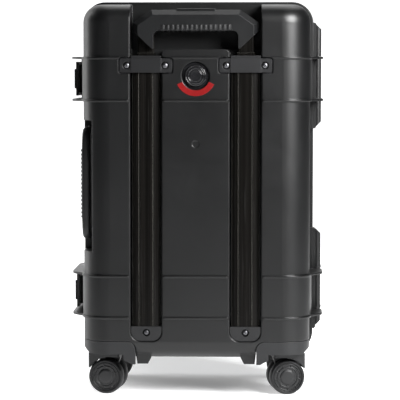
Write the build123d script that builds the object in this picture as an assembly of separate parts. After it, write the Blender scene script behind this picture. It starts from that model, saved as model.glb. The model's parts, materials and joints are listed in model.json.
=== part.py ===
"""A rolling hard-shell flight case: two moulded halves, hinges, latches, trolley, valve and four casters.

Millimetres, +Z up, origin on the floor under the middle of the case. The trolley side faces -Y, the lid +Y,
the hinges are on the +X side and the latches and carry handle on the -X side.
"""
from build123d import *
from math import cos, radians, sin
import os

# --- driving dimensions -------------------------------------------------------------------------------
BODY_X = 161.0            # half width of the moulded body
BODY_TOP = 554.0
BODY_BOTTOM = 54.0
BACK_Y = -112.0           # trolley face
FRONT_Y = 112.0           # lid face
PART_Y = 14.0             # parting plane, end of the deep half
SEAM = 0.4                # gap between the halves
BEVEL = 1.8               # broken edges of the pockets
WALL = 3.5
CORNER_R = 25.0           # rolled top and bottom edges, and so the big faces' corners
SIDE_R = 40.0             # upright edges of the big faces

RIM = 6.0                 # parting rim stands this far off the body
RIM_DEEP = 10.0
RIB_HEIGHTS = (112.0, 171.0, 419.0, 479.0)
RIB_THICK = 3.0
RIB_TIP_X = 180.0
RIB_PROUD = 2.5           # ribs on the big faces
BELT_PROUD = 0.5          # raised band between a pair of ribs
HINGE_RELIEF = 22.0       # ribs stop this far from the hinge line
EAR_ROOT = 28.0           # the ribs' ears grow out of the sides this far from the big faces

TROLLEY_X = 70.0          # tube centre lines
CHANNEL_HALF = 22.0
CHANNEL_BOTTOM = 79.0
CHANNEL_FLOOR_Y = -88.0
CHANNEL_R = 14.0
RECESS_X = TROLLEY_X + CHANNEL_HALF
RECESS_SILL = 491.0
RECESS_FLOOR_Y = -68.0
TUBE_Y = -97.5
OUTER_TUBE_FLAT = 9.0     # half width of the raised middle of the outer tube's face
OUTER_TUBE_HALF = 19.6
OUTER_TUBE_Y = (-108.8, -105.0, -90.0)   # face, shoulders, back
OUTER_TUBE_BORE = (26.8, 11.8)
MIDDLE_TUBE = (26.0, 11.0, 1.3)
INNER_TUBE = (22.6, 7.6, 1.2)
OUTER_TUBE_Z = (100.0, 459.0)
MIDDLE_TUBE_Z = (112.0, 486.0)
INNER_TUBE_Z = (124.0, 512.0)
ROD_R = 2.0
ROD_BOTTOM = 130.0

GRIP_TOP = 546.0
GRIP_BAR_BOTTOM = 517.0
GRIP_HALF = 88.5
GRIP_FLAT = 62.5          # half width of the flat top
GRIP_INSIDE = 59.5
GRIP_ARM_BOTTOM = 492.0
GRIP_Y = (-110.5, -85.0)
BUTTON_HALF = 27.0
BUTTON_PROUD = 2.0
PAD_HALF = 50.0
PAD_RIDGES = 15

FOOT_FACE_Y = -110.0
FOOT_SCREW_Z = 91.0
FOOT_SCREW_SEAT_Y = -106.6

BRACKET_Z = 468.3
BRACKET_SIZE = (74.0, 20.0)
BRACKET_SCREW_X = 27.0    # from the tube's centre line
SCREW_R = 1.8
HEAD_R = 3.8

VALVE_Z = 454.0
VALVE_FACE_Y = BACK_Y - BELT_PROUD
VALVE_RECESS_R = 19.5
KNOB_R = 15.4
LABEL_R = (20.6, 28.7)
VALVE_DEEP = 4.5          # the recess's floor below the body's face
DIMPLE_Z = 358.0          # shallow round mark under the valve

CASTER_X = 116.0
CASTER_Y = 70.0
TRAIL = 11.0
CASTER_TURNS = {"back_left": 172.0, "back_right": 10.0, "front_left": 186.0, "front_right": -9.0}
WHEEL_R = 25.0
WHEEL_INNER = 5.0         # wheels run from here to WHEEL_OUTER each side of the swivel line
WHEEL_OUTER = 22.0
AXLE_R = 4.0
STEM_R = 6.0
SWIVEL_WELL_R = 44.0
SWIVEL_WELL_TOP = 60.0
HOUSING_X = 85.0          # inner side of a corner housing
HOUSING_TOP = 79.0
HOUSING_END_Y = 24.0
LIP_Z = 46.0
HOUSING_SCREW_X = (98.0, 146.0)
HOUSING_SCREW_Y = 38.0

HINGE_X = 173.5
HINGE_Y = PART_Y + SEAM / 2
KNUCKLE_R = 5.0
PIN_R = 2.0
HINGES = ((377.0, 417.0, 481.0, 530.0), (85.0, 111.0, 173.0, 232.0))

LATCH_X = -172.5
LATCH_Y = 36.0
LATCH_Z = (449.0, 141.5)  # middle of each latch

HANDLE_Z = (221.0, 381.0)
HANDLE_POCKET_Z = (205.0, 391.0)
HANDLE_POCKET_X = -147.0
HANDLE_PIVOT = (-155.0, -38.0)
HANDLE_BAR_Y = -84.0

RUN_FIT = 0.03            # radial clearance of a pin that turns


# --- shape helpers ------------------------------------------------------------------------------------
def block(x0, x1, y0, y1, z0, z1):
    """A box between two corners."""
    return Pos((x0 + x1) / 2, (y0 + y1) / 2, (z0 + z1) / 2) * Box(abs(x1 - x0), abs(y1 - y0), abs(z1 - z0))


def rod_y(x, z, radius, y0, y1):
    return Pos(x, (y0 + y1) / 2, z) * Rot(90, 0, 0) * Cylinder(radius, abs(y1 - y0))


def rod_z(x, y, radius, z0, z1):
    return Pos(x, y, (z0 + z1) / 2) * Cylinder(radius, z1 - z0)


def face_on(outline, y0, y1):
    """Extrude an outline drawn in X and Z from y0 to y1."""
    return extrude(Plane.XZ.offset(-y1) * outline, amount=y1 - y0)


def plan(points, z0, z1, rounding=()):
    """Extrude a polygon drawn in X and Y; rounding lists (corner point, radius)."""
    outline = make_face(Polyline(*points, close=True))
    for corner, radius in rounding:
        vertex = outline.vertices().sort_by_distance(Vector(corner[0], corner[1], 0))[0]
        outline = fillet(vertex, radius)
    return Pos(0, 0, z0) * extrude(outline, amount=z1 - z0)


def mirrored(shape):
    """The same shape on the other side of the YZ plane."""
    return mirror(shape, Plane.YZ)


def both_sides(shape):
    return shape + mirrored(shape)


# --- the moulded halves -------------------------------------------------------------------------------
def body_block(gap, y_face, y_open):
    """The body's outer form, or, with gap, a smaller copy of it for the hollow."""
    direction = 1 if y_open > y_face else -1
    face = y_face + direction * gap
    half = BODY_X - gap
    points = [(half, y_open), (half, face), (-half, face), (-half, y_open)]
    rounding = [((half, face), SIDE_R - gap), ((-half, face), SIDE_R - gap)]
    solid = plan(points, BODY_BOTTOM + gap, BODY_TOP - gap, rounding)
    ends = solid.edges().group_by(Axis.Z)
    rolled = [edge for edge in ends[0] + ends[-1] if abs(edge.center().Y - y_open) > 0.01]
    return fillet(rolled, CORNER_R - gap)


def band(y_face, y_open, proud, side_face, side_open, z0, z1, ear=None):
    """A horizontal band round three sides; side_* are its half widths, ear its tip on each side."""
    sign = 1 if y_face > y_open else -1
    face = y_face + sign * proud
    near = y_face - sign * SIDE_R
    right = [(side_open, y_open), (side_face, near), (side_face, face)]
    left = [(-x, y) for x, y in reversed(right)]
    rounding = [((side_face, face), SIDE_R - 0.5), ((-side_face, face), SIDE_R - 0.5)]
    solid = plan(right + left, z0, z1, rounding)
    if ear is None:
        return solid
    for side, stop in ((1, ear[0]), (-1, ear[1])):
        tip = side * RIB_TIP_X
        bend = y_face + 0.45 * (y_open - y_face)
        root = y_face - sign * EAR_ROOT
        points = [(side * 140.0, stop), (tip, stop), (tip, bend), (side * (side_face - 8), root),
                  (side * 140.0, root)]
        solid += plan(points, z0, z1, [((tip, bend), 30.0), ((tip, stop), 3.0)])
    return solid


def outer_half(y_face, y_open, hinge_stop, latch_stop):
    """Body, parting rim, bands and ribs of one half, still solid."""
    solid = body_block(0, y_face, y_open)
    sign = 1 if y_open > y_face else -1
    rim_outline = Pos(0, (BODY_TOP + BODY_BOTTOM) / 2) * RectangleRounded(
        2 * (BODY_X + RIM), BODY_TOP - BODY_BOTTOM + 2 * RIM, CORNER_R + RIM)
    rim_start = y_open - sign * RIM_DEEP
    solid += face_on(rim_outline, min(rim_start, y_open), max(rim_start, y_open))
    for low, high in (RIB_HEIGHTS[:2], RIB_HEIGHTS[2:]):
        solid += band(y_face, y_open, BELT_PROUD, BODY_X + 1.5, BODY_X + RIM, low, high)
    for height in RIB_HEIGHTS:
        z0 = height - RIB_THICK / 2
        solid += band(y_face, y_open, RIB_PROUD, BODY_X + 2.5, BODY_X + RIM, z0, z0 + RIB_THICK,
                      (hinge_stop, latch_stop))
    return solid


def housing_outline(gap):
    """Front view of the right corner housing; gap shrinks it where it meets the body."""
    inner = HOUSING_X + gap
    top = HOUSING_TOP - gap
    points = [(inner, LIP_Z), (inner, top), (BODY_X, top), (BODY_X, 68.0), (151.0, SWIVEL_WELL_TOP),
              (131.0, SWIVEL_WELL_TOP), (112.0, 56.0), (96.0, 49.0), (91.0, LIP_Z)]
    outline = make_face(Polyline(*points, close=True))
    corner = outline.vertices().sort_by_distance(Vector(inner, top, 0))[0]
    return fillet(corner, 12.0)


def housing_space(side_y):
    """What both halves leave free at their bottom corners, on the right."""
    far = side_y * (abs(BACK_Y) + 10)
    near = side_y * HOUSING_END_Y
    outline = make_face(Polyline((HOUSING_X, 30), (HOUSING_X, HOUSING_TOP), (200, HOUSING_TOP), (200, 30),
                                 close=True))
    corner = outline.vertices().sort_by_distance(Vector(HOUSING_X, HOUSING_TOP, 0))[0]
    space = face_on(fillet(corner, 12.0), min(far, near), max(far, near))
    return space + rod_z(CASTER_X, side_y * CASTER_Y, SWIVEL_WELL_R, 30, SWIVEL_WELL_TOP)


def well_walls(side_y):
    """Material kept inside the hollow over a housing, on the right."""
    far = side_y * 120
    near = side_y * (HOUSING_END_Y - WALL)
    walls = block(HOUSING_X - WALL, 170, far, near, 40, HOUSING_TOP + WALL)
    return walls + block(68, HOUSING_X, far, near, 40, SWIVEL_WELL_TOP + WALL)


def foot_lobe(side_y):
    """Short moulded foot beside the housing, on the right."""
    outline = make_face(Polyline((63, 62), (63, 56), (68, LIP_Z), (83, LIP_Z), (84.5, 56), (84.5, 62), close=True))
    return face_on(outline, min(side_y * 104.0, side_y * 88.0), max(side_y * 104.0, side_y * 88.0))


def channel(x, grow, floor_grow):
    """The slot that one trolley tube lies in; it runs up into the grip's pocket."""
    top = BODY_TOP + 60
    outline = Pos(x, (CHANNEL_BOTTOM + top) / 2) * RectangleRounded(
        2 * (CHANNEL_HALF + grow), top - CHANNEL_BOTTOM + 2 * grow, CHANNEL_R + grow)
    return face_on(outline, BACK_Y - 5, CHANNEL_FLOOR_Y + floor_grow)


def mouth(outline, size):
    """A bevel that widens a pocket's outline where it meets the trolley face."""
    start = Plane.XZ.offset(-(BACK_Y - BELT_PROUD + size))
    return extrude(start * outline, amount=size + RIB_PROUD + 1, taper=-45)


def channel_mouth(x):
    top = BODY_TOP + 60
    outline = Pos(x, (CHANNEL_BOTTOM + top) / 2) * RectangleRounded(
        2 * CHANNEL_HALF, top - CHANNEL_BOTTOM, CHANNEL_R)
    return mouth(outline, BEVEL)


def panel_corner():
    """Rounds the centre panel's upper right corner."""
    edge, radius = TROLLEY_X - CHANNEL_HALF, 8.0
    corner = block(edge - radius, edge + 1, BACK_Y - 5, CHANNEL_FLOOR_Y, RECESS_SILL - radius, RECESS_SILL + 1)
    return corner - rod_y(edge - radius, RECESS_SILL - radius, radius, BACK_Y - 6, CHANNEL_FLOOR_Y + 1)


def grip_recess(grow):
    """Open-topped pocket that the trolley grip folds into."""
    return block(-RECESS_X - grow, RECESS_X + grow, BACK_Y - 5, RECESS_FLOOR_Y + grow,
                 RECESS_SILL - grow, BODY_TOP + 20)


def handle_pocket(grow):
    """Pocket in the left side for the carry handle, open to the back edge."""
    z0, z1 = HANDLE_POCKET_Z
    pocket = block(-BODY_X - 20, HANDLE_POCKET_X + grow, BACK_Y - 5, -12 + grow, z0 - grow, z1 + grow)
    edges = pocket.edges().filter_by(Axis.X)
    return fillet(edges, 6.0 + grow)


def handle_lugs():
    """Blocks at the pocket's ends that hold the carry handle's pins."""
    x, y = HANDLE_PIVOT
    lugs = []
    for z0, z1 in ((HANDLE_POCKET_Z[0] - 1, HANDLE_Z[0] - 0.5), (HANDLE_Z[1] + 0.5, HANDLE_POCKET_Z[1] + 1)):
        lugs.append(block(-BODY_X + 0.5, HANDLE_POCKET_X + 1, y - 9, y + 9, z0, z1))
    return lugs[0] + lugs[1]


def screw_bosses(depth_add):
    """Posts behind the bracket screws."""
    posts = None
    for x in (TROLLEY_X - BRACKET_SCREW_X, TROLLEY_X + BRACKET_SCREW_X):
        post = rod_y(x, BRACKET_Z, 5.5 + depth_add, BACK_Y + 2, BACK_Y + 18 + depth_add)
        posts = post if posts is None else posts + post
    return both_sides(posts)


def base_hollow(gap):
    """Room inside the deep half, kept clear of everything that is sunk into its outside."""
    wall = WALL + gap
    room = body_block(wall, BACK_Y, PART_Y + 5)
    for x in (TROLLEY_X, -TROLLEY_X):
        room -= channel(x, wall, wall)
    room -= grip_recess(wall)
    room -= handle_pocket(wall)
    room -= rod_y(0, VALVE_Z, 23 + gap, BACK_Y, -102 + gap)
    room -= both_sides(well_walls(-1))
    room -= screw_bosses(gap)
    return room


def bracket_pocket(x):
    outline = Pos(x, BRACKET_Z) * RectangleRounded(BRACKET_SIZE[0] + 3, BRACKET_SIZE[1] + 3, 4)
    return face_on(outline, BACK_Y - 5, BACK_Y + 3.5)


def base_shell():
    solid = outer_half(BACK_Y, PART_Y, PART_Y - HINGE_RELIEF, PART_Y)
    solid += both_sides(foot_lobe(-1))
    for z0, _, _, z1 in HINGES:
        solid += block(150, BODY_X + RIM, -8, PART_Y, z0, z1)
    for middle in LATCH_Z:
        solid += block(-BODY_X - RIM, -150, -26, 5, middle - 25, middle + 25)
    solid -= handle_pocket(0)
    solid += handle_lugs()
    for x in (TROLLEY_X, -TROLLEY_X):
        solid -= channel(x, 0, 0)
        solid -= channel_mouth(x)
        solid -= bracket_pocket(x)
    solid -= grip_recess(0)
    solid -= both_sides(panel_corner())
    solid -= base_hollow(0)
    solid -= both_sides(housing_space(-1))
    solid -= rod_y(0, VALVE_Z, VALVE_RECESS_R, BACK_Y - 5, BACK_Y + VALVE_DEEP)
    solid -= mouth(Pos(0, VALVE_Z) * Circle(VALVE_RECESS_R), 0.8)
    solid -= rod_y(0, VALVE_Z, 8.1, BACK_Y - 5, -90)
    solid -= rod_y(0, DIMPLE_Z, 5.0, BACK_Y - 5, BACK_Y + 0.5)
    for side in (-1, 1):
        for offset in (-BRACKET_SCREW_X, BRACKET_SCREW_X):
            solid -= rod_y(side * TROLLEY_X + offset, BRACKET_Z, SCREW_R, BACK_Y, BACK_Y + 16)
        solid -= rod_y(side * TROLLEY_X, FOOT_SCREW_Z, SCREW_R, CHANNEL_FLOOR_Y - 1, CHANNEL_FLOOR_Y + 10)
    x, y = HANDLE_PIVOT
    solid -= rod_z(x, y, PIN_R + 0.5, 210, 386)
    return solid


def lid_hollow(gap):
    wall = WALL + gap
    return body_block(wall, FRONT_Y, PART_Y - 5) - both_sides(well_walls(1))


def seal_ring(half_out, half_in, y0, y1):
    """A rectangular ring that follows the parting rim."""
    middle = (BODY_TOP + BODY_BOTTOM) / 2
    reach = (BODY_TOP - BODY_BOTTOM) / 2 - BODY_X
    outlines = []
    for half in (half_out, half_in):
        outlines.append(Pos(0, middle) * RectangleRounded(2 * half, 2 * (half + reach), CORNER_R + half - BODY_X))
    return face_on(outlines[0] - outlines[1], y0, y1)


def lid_shell():
    start = PART_Y + SEAM
    solid = outer_half(FRONT_Y, start, start + HINGE_RELIEF, start)
    solid += both_sides(foot_lobe(1))
    for _, z0, z1, _ in HINGES:
        solid += block(150, BODY_X + RIM, start, start + HINGE_RELIEF, z0 + 0.5, z1 - 0.5)
    solid -= lid_hollow(0)
    solid -= both_sides(housing_space(1))
    solid -= seal_ring(BODY_X + 3, BODY_X - 1, start - 1, start + 3)
    for middle in LATCH_Z:
        solid -= rod_z(LATCH_X, LATCH_Y, PIN_R, middle - 40, middle + 40)
    return solid


def lining(hollow, beyond):
    """Thin cloth-faced foam that follows the inside of one half, cut off beyond the parting rim."""
    return hollow(0.4) - hollow(2.2) - beyond - rod_y(0, VALVE_Z, 16, BACK_Y, -85)


# --- hinges and latches -------------------------------------------------------------------------------
def hinge_leaf(spans, y_near, y_far):
    """Leaf plate with knuckles over the given Z spans."""
    leaf = None
    for z0, z1 in spans:
        piece = rod_z(HINGE_X, HINGE_Y, KNUCKLE_R, z0, z1)
        piece += block(BODY_X + RIM, HINGE_X - 2.5, y_near, y_far, z0, z1)
        leaf = piece if leaf is None else leaf + piece
    return leaf


def hinge_bore(leaf):
    return leaf - rod_z(HINGE_X, HINGE_Y, PIN_R + RUN_FIT, 0, 600)


def hinge_end_cut(end, away):
    """What is cut off a hinge's far corner; away is 1 at its top and -1 at its bottom."""
    points = [(HINGE_X - 5.5, end + away), (HINGE_X + 10, end + away), (HINGE_X + 10, end - away * 14.5)]
    return face_on(make_face(Polyline(*points, close=True)), -20, 60)


def base_hinge(zs):
    z0, z1, z2, z3 = zs
    leaf = hinge_leaf(((z0, z1), (z2, z3)), -8.0, HINGE_Y)
    leaf += block(BODY_X + RIM, HINGE_X - 2.5, -8.0, 3.0, z1 - 1, z2 + 1)
    leaf -= hinge_end_cut(z3, 1) + hinge_end_cut(z0, -1)
    return hinge_bore(leaf)


def lid_hinge(zs):
    z1, z2 = zs[1] + 0.5, zs[2] - 0.5
    leaf = hinge_leaf(((z1, z2),), HINGE_Y, PART_Y + SEAM + 20)
    return hinge_bore(leaf)


def hinge_pins():
    pins = [rod_z(HINGE_X, HINGE_Y, PIN_R, zs[0] + 8, zs[3] - 8) for zs in HINGES]
    return Compound(children=pins)


def latch(middle):
    """Lever that swings out from its pin near the lid's edge."""
    z0, z1 = middle - 24.5, middle + 24.5
    points = [(-177, -22), (-173.3, -22), (-173.3, 31), (-168.2, 34), (-168.2, 38), (-177, 38)]
    lever = plan(points, z0, z1, [((-177, -22), 1.5), ((-177, 38), 3.0)])
    lever += rod_z(LATCH_X, LATCH_Y, 4.4, z0, z1)
    finger = block(-179, -176.9, -22, -14, middle - 14, middle + 14)
    lever += finger
    return lever - rod_z(LATCH_X, LATCH_Y, PIN_R + RUN_FIT, z0 - 1, z1 + 1)


def latch_keeper(middle):
    """Raised catch on the deep half that the lever closes over."""
    points = [(-167, -20), (-172.6, -17), (-172.6, -9), (-167, -6)]
    return plan(points, middle - 20, middle + 20)


def latch_pins():
    pins = []
    for middle, ribs in zip(LATCH_Z, (RIB_HEIGHTS[2:], RIB_HEIGHTS[:2])):
        low, high = ribs[0] - RIB_THICK / 2, ribs[1] + RIB_THICK / 2
        pins.append(rod_z(LATCH_X, LATCH_Y, PIN_R, low, high))
    return Compound(children=pins)


# --- carry handle -------------------------------------------------------------------------------------
def side_handle():
    """Bail with two arms on the pivot line and a rounded grip bar."""
    x, y = HANDLE_PIVOT
    z0, z1 = HANDLE_Z
    bar = block(-165.5, -150.5, HANDLE_BAR_Y - 9, HANDLE_BAR_Y + 9, z0, z1)
    bar = fillet(bar.edges().filter_by(Axis.Z), 6.0)
    bail = bar
    for low, high in ((z0, z0 + 12), (z1 - 12, z1)):
        bail += block(x - 6, x + 6, HANDLE_BAR_Y, y, low, high)
        bail += rod_z(x, y, 6.0, low, high)
    return bail - rod_z(x, y, PIN_R + 0.5 + RUN_FIT, 200, 400)


def side_handle_pins():
    x, y = HANDLE_PIVOT
    spans = ((210.0, HANDLE_Z[0] + 12), (HANDLE_Z[1] - 12, 386.0))
    return Compound(children=[rod_z(x, y, PIN_R + 0.5, low, high) for low, high in spans])


# --- trolley ------------------------------------------------------------------------------------------
def tube(x, size, span):
    """Flat aluminium tube with rounded corners."""
    width, depth, wall = size
    outer = RectangleRounded(width, depth, 2.5)
    inner = RectangleRounded(width - 2 * wall, depth - 2 * wall, 1.4)
    return Pos(x, TUBE_Y, span[0]) * extrude(outer - inner, amount=span[1] - span[0])


def tube_block(x, size, span, grow=0.0):
    """The solid space that a tube fills."""
    outline = RectangleRounded(size[0] + 2 * grow, size[1] + 2 * grow, 2.5 + grow)
    return Pos(x, TUBE_Y, span[0]) * extrude(outline, amount=span[1] - span[0])


def outer_tube(x):
    """Fixed extrusion with a raised flat middle, sloped flanks and a groove beside the flat."""
    face, shoulder, back = OUTER_TUBE_Y
    flat, half, groove = OUTER_TUBE_FLAT, OUTER_TUBE_HALF, 0.7
    side = [(flat, face), (flat, face + groove), (flat + 1.4, face + groove), (flat + 1.4, face + 0.2),
            (half - 2.5, shoulder - 1.2), (half - 1.0, shoulder), (half, shoulder), (half, back)]
    points = [(x + dx, y) for dx, y in side] + [(x - dx, y) for dx, y in reversed(side)]
    solid = plan(points, *OUTER_TUBE_Z)
    width, depth = OUTER_TUBE_BORE
    bore = Pos(x, TUBE_Y, OUTER_TUBE_Z[0] - 1) * extrude(RectangleRounded(width, depth, 1.4), amount=400)
    return solid - bore


def release_rod(x):
    return rod_z(x, TUBE_Y, ROD_R, ROD_BOTTOM, 529.0)


def release_space(grow):
    """Room for the button, its cross bar and the tops of the rods."""
    space = block(-BUTTON_HALF - grow, BUTTON_HALF + grow, TUBE_Y - 6 - grow, TUBE_Y + 6 + grow, 525, 560)
    return space


def release_button():
    """Long press button and the cross bar that carries both rods."""
    cap = block(-BUTTON_HALF, BUTTON_HALF, TUBE_Y - 6, TUBE_Y + 6, 531, GRIP_TOP + BUTTON_PROUD)
    cap = fillet(cap.edges().group_by(Axis.Z)[-1], 1.2)
    bar = block(-TROLLEY_X - 5, TROLLEY_X + 5, TUBE_Y - 4, TUBE_Y + 4, 529, 533)
    return cap + bar


def grip_outline():
    half = [(GRIP_FLAT, GRIP_TOP), (GRIP_HALF, 528.0), (GRIP_HALF, 517.0), (62.0, GRIP_ARM_BOTTOM),
            (GRIP_INSIDE, GRIP_ARM_BOTTOM), (GRIP_INSIDE, GRIP_BAR_BOTTOM)]
    points = half + [(-x, z) for x, z in reversed(half)]
    outline = make_face(Polyline(*points, close=True))
    for side in (-1, 1):
        corner = outline.vertices().sort_by_distance(Vector(side * GRIP_INSIDE, GRIP_BAR_BOTTOM, 0))[0]
        outline = fillet(corner, 8.0)
    return outline


def pad_block():
    return block(-PAD_HALF, PAD_HALF, GRIP_Y[0] + 3, GRIP_Y[1] - 3, GRIP_BAR_BOTTOM, GRIP_BAR_BOTTOM + 3)


def trolley_grip():
    grip = face_on(grip_outline(), *GRIP_Y)
    front = grip.faces().sort_by(Axis.Y)[0]
    top_edges = front.edges().filter_by(lambda edge: edge.center().Z > GRIP_BAR_BOTTOM + 4)
    grip = chamfer(top_edges, 8.0, 7.0)
    grip -= release_space(0.3)
    grip -= block(-TROLLEY_X - 6, TROLLEY_X + 6, TUBE_Y - 4.3, TUBE_Y + 4.3, 524.5, 534)
    grip -= pad_block()
    for x in (TROLLEY_X, -TROLLEY_X):
        grip -= tube_block(x, INNER_TUBE, (480, INNER_TUBE_Z[1]))
        grip -= rod_z(x, TUBE_Y, ROD_R + 0.3, 505, 530)
    return grip


def grip_pad():
    """Soft insert under the bar with finger ridges."""
    pad = pad_block()
    pitch = 2 * (PAD_HALF - 4) / (PAD_RIDGES - 1)
    for step in range(PAD_RIDGES):
        x = -PAD_HALF + 4 + step * pitch
        pad += Pos(x, (GRIP_Y[0] + GRIP_Y[1]) / 2, GRIP_BAR_BOTTOM + 0.4) * Rot(90, 0, 0) * Cylinder(
            2.0, GRIP_Y[1] - GRIP_Y[0] - 8)
    return pad


def tube_bracket(x):
    """Plate across the channel and the collar that guides the tubes."""
    plate = face_on(Pos(x, BRACKET_Z) * RectangleRounded(*BRACKET_SIZE, 3), BACK_Y + 0.6, BACK_Y + 3.2)
    plate += face_on(Pos(x, BRACKET_Z) * RectangleRounded(43, BRACKET_SIZE[1], 1), BACK_Y - 0.2, BACK_Y + 0.6)
    collar = block(x - 21, x + 21, BACK_Y + 1.5, CHANNEL_FLOOR_Y, OUTER_TUBE_Z[1], 482)
    bracket = plate + collar - tube_block(x, MIDDLE_TUBE, (450, 490), 0.4)
    for offset in (-BRACKET_SCREW_X, BRACKET_SCREW_X):
        bracket -= rod_y(x + offset, BRACKET_Z, 5.6, BACK_Y - 1, BACK_Y + 1.8)
        bracket -= rod_y(x + offset, BRACKET_Z, SCREW_R, BACK_Y - 1, BACK_Y + 5)
    return bracket


def screw(x, z, y_seat, length):
    """Domed screw driven along +Y, its head's underside at y_seat."""
    head = rod_y(x, z, HEAD_R, y_seat - 2.2, y_seat)
    head = fillet(head.faces().sort_by(Axis.Y)[0].edges(), 1.8)
    shank = rod_y(x, z, SCREW_R, y_seat, y_seat + length)
    socket = face_on(Pos(x, z) * RegularPolygon(1.4, 6), y_seat - 3, y_seat - 1.0)
    return head + shank - socket


def bracket_screws():
    places = [side * TROLLEY_X + offset for side in (-1, 1) for offset in (-BRACKET_SCREW_X, BRACKET_SCREW_X)]
    return Compound(children=[screw(x, BRACKET_Z, BACK_Y + 1.8, 13) for x in places])


def tube_foot(x):
    """End block that fills the channel's rounded end under a tube."""
    half, low = CHANNEL_HALF - 0.4, CHANNEL_BOTTOM + 0.4
    outline = Pos(x, low + half) * RectangleRounded(2 * half, 2 * half, CHANNEL_R - 0.4)
    foot = face_on(outline, FOOT_FACE_Y, CHANNEL_FLOOR_Y)
    foot -= block(x - 30, x + 30, -120, -80, OUTER_TUBE_Z[0], 140)
    foot -= rod_y(x, FOOT_SCREW_Z, 5.2, -120, FOOT_SCREW_SEAT_Y)
    return foot - rod_y(x, FOOT_SCREW_Z, SCREW_R, -120, -80)


def foot_screws():
    return Compound(children=[screw(side * TROLLEY_X, FOOT_SCREW_Z, FOOT_SCREW_SEAT_Y, 20) for side in (-1, 1)])


# --- pressure valve -----------------------------------------------------------------------------------
def valve_body():
    floor = BACK_Y + VALVE_DEEP
    body = rod_y(0, VALVE_Z, 18.8, floor - 1.5, floor)
    body += rod_y(0, VALVE_Z, 8.0, floor, -93)
    return body + rod_y(0, VALVE_Z, 3.0, floor - 5, floor)


def valve_knob():
    """Round turn knob with stepped rings."""
    floor = BACK_Y + VALVE_DEEP
    front = VALVE_FACE_Y - 1.8
    knob = rod_y(0, VALVE_Z, KNOB_R, front, floor - 1.8)
    for outer, inner in ((13.6, 12.2), (9.6, 8.4)):
        knob -= rod_y(0, VALVE_Z, outer, front - 1, front + 1) - rod_y(0, VALVE_Z, inner, front - 2, front + 2)
    return knob - rod_y(0, VALVE_Z, 3.0 + RUN_FIT, floor - 5.2, floor)


def valve_nut():
    nut = face_on(Pos(0, VALVE_Z) * RegularPolygon(13, 6), -102, -96)
    return nut - rod_y(0, VALVE_Z, 8.0, -110, -90)


def valve_label():
    """Red tell-tale arc under the valve."""
    outer, inner = LABEL_R[1], LABEL_R[0]
    ring = rod_y(0, VALVE_Z, outer, VALVE_FACE_Y - 0.8, VALVE_FACE_Y)
    ring -= rod_y(0, VALVE_Z, inner, VALVE_FACE_Y - 2, VALVE_FACE_Y + 2)
    reach = 60.0
    drop = reach * sin(radians(25))
    side = reach * cos(radians(25))
    wedge = make_face(Polyline((0, VALVE_Z), (side, VALVE_Z - drop), (side, VALVE_Z - reach),
                               (-side, VALVE_Z - reach), (-side, VALVE_Z - drop), close=True))
    return ring & face_on(wedge, BACK_Y - 3, BACK_Y + 3)


# --- casters ------------------------------------------------------------------------------------------
def housing(side_x, side_y):
    """Corner moulding that holds a caster's stem, with two counterbored screw holes."""
    far, near = side_y * 112.0, side_y * (HOUSING_END_Y + 0.4)
    solid = face_on(housing_outline(0.6), min(far, near), max(far, near))
    envelope = block(0, BODY_X, min(far, near), max(far, near), 20, 100)
    corner = envelope.edges().filter_by(Axis.Z).sort_by_distance(Vector(BODY_X, far, 60))[0]
    solid = solid & fillet(corner, SIDE_R)
    solid -= rod_z(CASTER_X, side_y * CASTER_Y, SWIVEL_WELL_R, 30, SWIVEL_WELL_TOP)
    solid -= rod_z(CASTER_X, side_y * CASTER_Y, STEM_R + 0.05, 50, 76)
    for x in HOUSING_SCREW_X:
        solid -= rod_z(x, side_y * HOUSING_SCREW_Y, 1.5, 50, 90)
        solid -= rod_z(x, side_y * HOUSING_SCREW_Y, 3.2, 30, 63)
    return solid if side_x > 0 else mirrored(solid)


def housing_screws(side_y):
    screws = []
    for side_x in (-1, 1):
        for x in HOUSING_SCREW_X:
            head = rod_z(side_x * x, side_y * HOUSING_SCREW_Y, 3.0, 61, 63)
            screws.append(head + rod_z(side_x * x, side_y * HOUSING_SCREW_Y, 1.5, 63, 78.4))
    return Compound(children=screws)


def caster_place(name):
    """Where a caster's swivel line stands and how far it is turned."""
    side_x = -1 if name.endswith("left") else 1
    side_y = -1 if name.startswith("back") else 1
    return Pos(side_x * CASTER_X, side_y * CASTER_Y, 0) * Rot(0, 0, CASTER_TURNS[name])


def fork():
    """Swivel stem, web between the wheels and the hood over them."""
    stem = rod_z(0, 0, STEM_R, 55, 75.5) + rod_z(0, 0, 16, 55.5, SWIVEL_WELL_TOP - 0.5)
    web_side = make_face(Polyline((-9, 56), (22, 56), (20, 25), (11, 14), (2, 25), close=True))
    web = face_on(web_side, -WHEEL_INNER + 0.5, WHEEL_INNER - 0.5)
    hood = block(-9, TRAIL + WHEEL_R + 0.5, -21, 21, 37, 58.5)
    hood = fillet(hood.edges().filter_by(Axis.Z), 4.0)
    hood -= block(-20, TRAIL, -30, 30, 30, 53)
    hood -= rod_y(TRAIL, WHEEL_R, WHEEL_R + 1.6, -30, 30)
    return stem + hood + web - rod_y(TRAIL, WHEEL_R, AXLE_R, -30, 30)


def axle():
    return rod_y(TRAIL, WHEEL_R, AXLE_R, -17.5, 17.5)


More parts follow.
